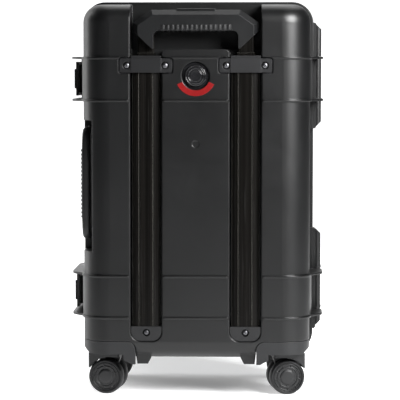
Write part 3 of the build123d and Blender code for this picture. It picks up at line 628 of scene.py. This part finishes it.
def repeated(tree, part, material, points=(), **inputs):
    """Runs one of the repeat groups and returns its result as a bmesh; the part is used up."""
    carrier_mesh = bpy.data.meshes.new("carrier")
    carrier_mesh.from_pydata([tuple(point) for point in points], [], [])
    carrier = bpy.data.objects.new("carrier", carrier_mesh)
    scene.collection.objects.link(carrier)
    repeat = carrier.modifiers.new("repeat", "NODES")
    repeat.node_group = tree
    values = {"Part": part, "Material": finishes[material], **inputs}
    for socket in tree.interface.items_tree:
        if socket.in_out == "INPUT" and socket.name in values:
            repeat[socket.identifier] = values[socket.name]
    bpy.context.view_layer.update()
    ready = carrier.evaluated_get(bpy.context.evaluated_depsgraph_get())
    data = bpy.data.meshes.new_from_object(ready)
    mesh = bmesh.new()
    mesh.from_mesh(data)
    for used in (carrier, part):
        bpy.data.objects.remove(used)
    for face in mesh.faces:
        face.material_index = 0
    return mesh


print("repeat groups", [tree.name for tree in (RING, ROW, POINTS)])

# %% [markdown]
# ## Twin wheels
# Each caster runs on two moulded wheels with a soft polyurethane tyre. The outer face is dished and has
# concentric rings, which short ribs break into segments, and a raised cap over the axle. The body of a wheel
# is one profile turned on its axis. The ribs are one small bar that Geometry Nodes repeats round the axis.
# The wheel is worked out once, standing on Z, and is then laid on each of the eight axles.

# %% One wheel
def bevelled_bar(name, size, bevel):
    """A short bar with rounded edges, used as a repeated part."""
    mesh = bmesh.new()
    bmesh.ops.create_cube(mesh, size=1.0)
    bmesh.ops.scale(mesh, verts=mesh.verts, vec=size)
    bevelled(mesh, bevel, 2)
    return as_object(name, mesh)


TYRE_INSIDE = 20.3      # the profile's faces farther out than this are tyre, mm
WHEEL_BARS = (          # name, size, bevel, count, radius of the circle, height along the axle, mm
    ("rib", (3.4, 1.5, 2.0), 0.35, 9, 16.6, 20.1),
    ("notch", (2.6, 1.2, 1.2), 0.3, 5, 11.9, 20.3),
)
wheel_profile = [(0, 18), (4.06, 18), (4.06, 5.1), (20.4, 5.1), (20.8, 6.4), (22.8, 5.4), (24.5, 7.0),
                 (25.0, 10.0), (25.0, 17.0), (24.4, 20.0), (22.8, 21.9), (21.0, 21.9), (20.3, 20.4),
                 (19.5, 20.4), (19.3, 21.3), (18.3, 21.3), (18.1, 19.6), (15.1, 19.6), (14.9, 21.2),
                 (13.6, 21.2), (13.4, 20.0), (10.4, 20.0), (10.2, 21.0), (8.0, 21.6), (0, 21.8)]


def wheel_pattern():
    """One wheel standing on Z, with its outer face up."""
    profile = rounded_line([(r * MM, w * MM) for r, w in wheel_profile], 0.45 * MM, 3)
    mesh = turned(profile, 96, lambda radius: int(radius > TYRE_INSIDE * MM))
    for name, size, bevel, count, radius, height in WHEEL_BARS:
        bar = bevelled_bar(name, [side * MM for side in size], bevel * MM)
        bars = repeated(RING, bar, "wheel", Count=count, Radius=radius * MM)
        bmesh.ops.translate(bars, verts=bars.verts, vec=(0, 0, height * MM))
        merge(mesh, bars)
    return mesh


pattern = wheel_pattern()
print("wheel faces", len(pattern.faces))

# %% Eight wheels
axles = {joint["child"]: joint for joint in record["behaviour"]["joints"] if joint["name"].startswith("spin_")}
for index, (name, joint) in enumerate(axles.items()):
    low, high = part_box(name)
    hub = Vector(joint["pos_m"])
    outward = ((low + high) / 2 - hub).normalized()
    spin = radians(23 * (len(name) + 3 * index))
    place = Matrix.Translation(hub) @ outward.to_track_quat("Z", "Y").to_matrix().to_4x4()
    place = place @ Matrix.Rotation(spin, 4, "Z")
    wheel = as_piece("turned_" + name, pattern.copy(), ("wheel", "tyre"), place)
    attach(wheel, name)
    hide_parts(name)
pattern.free()
print("wheels", len(axles))

# %% [markdown]
# ## Screws
# The brackets and tube feet are held by domed steel screws with a small hexagon socket. The dome is what
# catches the light, so it needs a true curve, and the socket needs six flat walls. Round the dome lies a flat
# flange, painted black as the shade of the recess round the head, so each screw reads as a bright dot in a
# dark ring. One screw is modelled, and Geometry Nodes sets a copy at each screw's place and turns each one
# differently, as a fitter leaves them.

# %% One screw
def hexagon(angle):
    """How far a hexagon with corners at radius one reaches at an angle."""
    return cos(pi / 6) / cos((angle % (pi / 3)) - pi / 6)


FLANGE, FLANGE_TOP = 5.05, 0.25     # radius and height of the flat flange, painted black as shade, mm
HEAD, HEAD_FOOT, DOME = 4.0, 0.35, 2.2      # radius, foot and top of the worn, bright dome, mm
SHANK, SOCKET, SOCKET_DEPTH = 1.8, 1.3, 1.2     # radius, radius to the socket's corners, depth, mm
SCREW_STEPS = 48


def screw_part(length):
    """A flanged dome screw that faces -Y, with its head's underside on the origin plane."""
    angles = [2 * pi * step / SCREW_STEPS for step in range(SCREW_STEPS)]
    outline = [(SHANK, -length), (SHANK, 0.0), (FLANGE, 0.0), (FLANGE, FLANGE_TOP), (HEAD + 0.05, FLANGE_TOP),
               (HEAD, HEAD_FOOT)]
    for step in range(1, 9):
        t = radians(90 - 70 * step / 8)
        outline.append((HEAD * sin(t), HEAD_FOOT + (DOME - HEAD_FOOT) * cos(t)))
    top = outline[-1][1]
    rings = [[point] * SCREW_STEPS for point in outline]
    for wider, height in ((0.12, top + 0.05), (0.0, top - 0.15), (0.0, top - SOCKET_DEPTH)):
        rings.append([(SOCKET * hexagon(a) + wider, height) for a in angles])
    sections = []
    for ring in rings:
        sections.append([(r * cos(a) * MM, -h * MM, r * sin(a) * MM) for (r, h), a in zip(ring, angles)])
    mesh = loft(sections)
    bmesh.ops.recalc_face_normals(mesh, faces=mesh.faces)
    return as_object("screw", mesh)


def screw_set(name, node, places, length):
    """One piece with a screw at each place; faces outside the dome are painted black as shade."""
    mesh = repeated(POINTS, screw_part(length), "screw", places, Turn=(0.0, radians(37.0), 0.0))
    # Faces beyond the dome take the black tube finish: painted shade of the recess round each head.
    for face in mesh.faces:
        middle = face.calc_center_median()
        reach = min(hypot(middle.x - x, middle.z - z) for x, _, z in places)
        face.material_index = int(reach > HEAD * MM)
    screws = as_piece(name, mesh, ("screw", "tube"))
    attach(screws, "base")
    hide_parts(node)


# %% Screws in place
BRACKET_OFFSETS = (-27.0, 27.0)                 # from the bracket's middle, mm
BRACKET_SEAT_Y, BRACKET_Z = -110.2, 468.3       # where the heads' undersides lie, mm
FOOT_SEAT_Y, FOOT_Z = -106.6, 91.0
bracket_places, foot_places = [], []
for side in ("left", "right"):
    low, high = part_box("tube_bracket_" + side)
    for offset in BRACKET_OFFSETS:
        bracket_places.append(((low.x + high.x) / 2 + offset * MM, BRACKET_SEAT_Y * MM, BRACKET_Z * MM))
    low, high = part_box("tube_foot_" + side)
    foot_places.append(((low.x + high.x) / 2, FOOT_SEAT_Y * MM, FOOT_Z * MM))
screw_set("domed_bracket_screws", "bracket_screws", bracket_places, 12.8)
screw_set("domed_foot_screws", "foot_screws", foot_places, 19.5)
print("screws", len(bracket_places) + len(foot_places))

# %% [markdown]
# ## The valve's knob
# The pressure valve is opened by hand before the lid is. Its knob is a polished cap with stepped rings that
# a thumb can hold. It is a turned part, so one profile makes it. The grooves' edges are rounded, because a
# sharp groove in gloss plastic shows no highlight at all.

# %% Knob
KNOB_SINK = 1.8     # the profile's zero lies this far behind the CAD knob's back, mm
knob_profile = [(0, 3.4), (3.08, 3.4), (3.08, 1.85), (15.2, 1.85), (15.35, 2.6), (15.35, 5.0), (14.3, 6.6),
                (13.5, 6.7), (13.1, 5.5), (12.3, 5.5), (11.9, 6.7), (9.9, 6.75), (9.5, 5.6), (8.6, 5.6),
                (8.2, 6.6), (5.6, 6.2), (0, 6.0)]
low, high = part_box("valve_knob")
knob_floor = Vector(((low.x + high.x) / 2, high.y + KNOB_SINK * MM, (low.z + high.z) / 2))
knob_place = Matrix.Translation(knob_floor) @ Matrix.Rotation(radians(90), 4, "X")
knob_mesh = turned(rounded_line([(r * MM, h * MM) for r, h in knob_profile], 0.5 * MM, 4), 128)
knob = as_piece("stepped_knob", knob_mesh, ("valve",), knob_place)
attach(knob, "valve_knob")
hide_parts("valve_knob")
print("knob faces", len(knob.data.polygons))

# %% [markdown]
# ## The grip's ridged pad
# Under the trolley's grip lies a soft insert with a row of cross ridges, so that fingers don't slip. Its lip
# turns up over the front of the bar, where each ridge goes on as an upright one. A ridge is a low pill with
# rounded ends. A row of fifteen is a clear job for Geometry Nodes: one ridge, a count, and the two ends of
# the row.

# %% Grip pad
PILL_RINGS, PILL_CORNERS, PILL_TIP = 12, 20, 0.02


def pill(name, length, width, height, along="Y"):
    """A low ridge with a half-oval section and rounded ends."""
    sections = []
    for step in range(PILL_RINGS + 1):
        t = -1 + 2 * step / PILL_RINGS
        size = max((1 - t ** 6) ** 0.5, PILL_TIP)
        ring = []
        for corner in range(PILL_CORNERS):
            a = 2 * pi * corner / PILL_CORNERS
            ring.append((width / 2 * size * cos(a), t * length / 2, height * size * sin(a)))
        turns = {"Y": ring, "X": [(y, x, z) for x, y, z in ring], "Z": [(x, z, y) for x, y, z in ring]}
        sections.append(turns[along])
    mesh = loft(sections)
    bmesh.ops.recalc_face_normals(mesh, faces=mesh.faces)
    return as_object(name, mesh)


def crowned_slab(low, high, rounding):
    """A block with all edges rounded."""
    mesh = bmesh.new()
    bmesh.ops.create_cube(mesh, size=1.0)
    bmesh.ops.scale(mesh, verts=mesh.verts, vec=high - low)
    bmesh.ops.translate(mesh, verts=mesh.verts, vec=(low + high) / 2)
    bevelled(mesh, rounding, 3)
    return mesh


def ridge_line(name, size, y, z, along):
    """The row of ridges from one end of the pad to the other."""
    ridge = pill(name, *size, along)
    ends = {"Start": (low.x + MARGIN, y, z), "End": (high.x - MARGIN, y, z)}
    return repeated(ROW, ridge, "grip_pad", Count=RIDGES, **ends)


RIDGES, RIDGE_WIDTH, RIDGE_HEIGHT, MARGIN = 15, 4.4 * MM, 1.8 * MM, 4 * MM
LIP, LIP_PROUD, LIP_RIDGE = 8.5 * MM, 0.3 * MM, 0.6 * MM
SLACK = 0.1 * MM        # the slabs are this much smaller than the CAD pad on each side
low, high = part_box("grip_pad")
lip_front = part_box("trolley_grip")[0].y
slab_foot = low.z + RIDGE_HEIGHT
pad_mesh = crowned_slab(Vector((low.x + SLACK, low.y + SLACK, slab_foot)), high - Vector((SLACK,) * 3),
                        0.5 * MM)
lip_mesh = crowned_slab(Vector((low.x + SLACK, lip_front - LIP_PROUD, slab_foot)),
                        Vector((high.x - SLACK, low.y + 2 * MM, slab_foot + LIP)), 0.25 * MM)
ridge_row = ridge_line("ridge", (high.y - low.y - 2 * MM, RIDGE_WIDTH, RIDGE_HEIGHT), (low.y + high.y) / 2,
                       slab_foot + 0.1 * MM, "Y")
lip_row = ridge_line("lip_ridge", (LIP, RIDGE_WIDTH, LIP_RIDGE), lip_front - 0.2 * MM, slab_foot + LIP / 2, "Z")
for extra in (ridge_row, lip_mesh, lip_row):
    merge(pad_mesh, extra)
pad = as_piece("ridged_grip_pad", pad_mesh, ("grip_pad",))
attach(pad, "trolley_grip")
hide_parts("grip_pad")
print("ridges", RIDGES, "pitch mm", round((high.x - low.x - 2 * MARGIN) / (RIDGES - 1) / MM, 2))

# %% [markdown]
# ## The carry handle
# The handle on the side is a moulded bail: two arms on pins, and a bar that is thicker in the middle and soft
# to hold. It could be cut from a block, but a bail is one smooth sweep, so it is lofted: oval sections are set
# along a line that runs from one pin, round the bar, to the other pin. Small cross ribs on the bar's inside
# face stop it from slipping.

# %% Carry handle
ARM_X, PIVOT_Y, BAR_Y = -155.0 * MM, -38.0 * MM, -84.0 * MM
BAR_LEAN = 1.5 * MM         # the bar lies this much farther out than the pins
ARM_INSET = 6.2 * MM        # from the end of the handle to the middle of an arm
BEND = 13 * MM
HALF_WIDE, HALF_DEEP = (5.8, 1.1), (5.9, 2.6)      # at the arms, and what the bar's middle adds, mm
SWELL_REACH, SWELL_RATE = 68 * MM, 2.2
SQUARENESS, SECTION_POINTS = 0.7, 28
RIBS, RIB_X, RIB_START = 17, -163.2 * MM, 33 * MM


def smooth_path(points, reach, steps=8):
    """A polyline with its corners rounded, as evenly stepped points."""
    line = [Vector(points[0])]
    for before, corner, after in zip(points, points[1:], points[2:]):
        corner = Vector(corner)
        start = corner + (Vector(before) - corner).normalized() * reach
        end = corner + (Vector(after) - corner).normalized() * reach
        for step in range(steps + 1):
            t = step / steps
            line.append(start * (1 - t) ** 2 + corner * 2 * t * (1 - t) + end * t * t)
    line.append(Vector(points[-1]))
    dense = []
    for first, second in zip(line, line[1:]):
        cuts = max(1, round((second - first).length / (3 * MM)))
        dense += [first.lerp(second, cut / cuts) for cut in range(cuts)]
    return dense + [line[-1]]


def squared_oval(middle, across, other, wide, deep):
    """Points of an oval with flattened sides."""
    section = []
    for corner in range(SECTION_POINTS):
        a = 2 * pi * corner / SECTION_POINTS
        px = wide * copysign(abs(cos(a)) ** SQUARENESS, cos(a))
        py = deep * copysign(abs(sin(a)) ** SQUARENESS, sin(a))
        section.append(middle + across * px + other * py)
    return section


def handle_mesh(low, high):
    """The bail between the pins; it keeps inside the CAD handle's box."""
    ends, bar_x = (low.z + ARM_INSET, high.z - ARM_INSET), ARM_X - BAR_LEAN
    corners = [(ARM_X, PIVOT_Y, ends[0]), (bar_x, BAR_Y, ends[0]), (bar_x, BAR_Y, ends[1]),
               (ARM_X, PIVOT_Y, ends[1])]
    path = smooth_path(corners, BEND)
    middle_z = (low.z + high.z) / 2
    sections = []
    for index, point in enumerate(path):
        ahead = path[min(index + 1, len(path) - 1)] - path[max(index - 1, 0)]
        ahead.normalize()
        other = ahead.cross(Vector((1, 0, 0))).normalized()
        across = other.cross(ahead).normalized()
        on_bar = max(0.0, 1.0 - abs(point.z - middle_z) / SWELL_REACH)
        swell = min(1.0, on_bar * SWELL_RATE)
        wide, deep = ((arm + more * swell) * MM for arm, more in (HALF_WIDE, HALF_DEEP))
        sections.append(squared_oval(point, across, other, wide, deep))
    return loft(sections)


low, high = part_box("side_handle")
bail = handle_mesh(low, high)
grip_rib = pill("grip_rib", 12 * MM, 3.2 * MM, 0.7 * MM, "X")
rib_line = (0, high.z - low.z - 2 * RIB_START, 0)
ribs = repeated(ROW, grip_rib, "handle", Count=RIBS, Start=(0, 0, 0), End=rib_line)
lie_on_bar = Matrix.Translation((RIB_X, BAR_Y, low.z + RIB_START)) @ Matrix(
    ((0, 0, -1, 0), (1, 0, 0, 0), (0, 1, 0, 0), (0, 0, 0, 1)))
bmesh.ops.transform(ribs, matrix=lie_on_bar, verts=ribs.verts)
merge(bail, ribs)
handle = as_piece("carry_handle_bail", bail, ("handle",))
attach(handle, "side_handle")
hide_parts("side_handle")
print("handle faces", len(handle.data.polygons))

# %% [markdown]
# ## Cloth linings
# Inside, each half is lined with woven cloth over thin foam, glued in and a little slack. A flat solid would
# look like card, so the CAD lining's skin is divided finely and its inner side is lifted by slow noise into
# shallow folds. The side that lies on the shell stays where it is: a short ray towards the shell tells the
# two sides apart.

# %% Linings
LONGEST_EDGE, ROUNDS = 11 * MM, 7
GLUED_REACH = 1.6 * MM          # cloth closer to the shell than this is its glued side
LIFT = 0.9 * MM


def slack_lining(node, shell_node, body, seed):
    """A copy of a lining whose free side lies in shallow folds."""
    shell_mesh = bmesh.new()
    shell_mesh.from_mesh(nodes[shell_node].data)
    shell_tree = BVHTree.FromBMesh(shell_mesh)
    mesh = bmesh.new()
    mesh.from_mesh(nodes[node].data)
    bmesh.ops.remove_doubles(mesh, verts=mesh.verts, dist=1e-6)
    for _ in range(ROUNDS):
        long_edges = [edge for edge in mesh.edges if edge.calc_length() > LONGEST_EDGE]
        if not long_edges:
            break
        bmesh.ops.subdivide_edges(mesh, edges=long_edges, cuts=1)
        bmesh.ops.triangulate(mesh, faces=mesh.faces[:])
    mesh.normal_update()
    moved = 0
    for vertex in mesh.verts:
        hit = shell_tree.ray_cast(vertex.co + vertex.normal * 1e-5, vertex.normal, GLUED_REACH)
        if hit[0] is None:
            fold = noise.noise(vertex.co * 21.0 + Vector((seed, 0, 0))) * 0.7
            fold += noise.noise(vertex.co * 55.0 + Vector((0, seed, 0))) * 0.3
            vertex.co += vertex.normal * (0.9 + fold) * LIFT
            moved += 1
    for face in mesh.faces:
        face.smooth = True
    shell_mesh.free()
    cloth = as_piece("slack_" + node, mesh, ("lining",))
    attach(cloth, body)
    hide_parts(node)
    print(node, "faces", len(cloth.data.polygons), "vertices lifted", moved)


slack_lining("base_lining", "base_shell", "base", 3.0)
slack_lining("lid_lining", "lid_shell", "lid", 8.0)
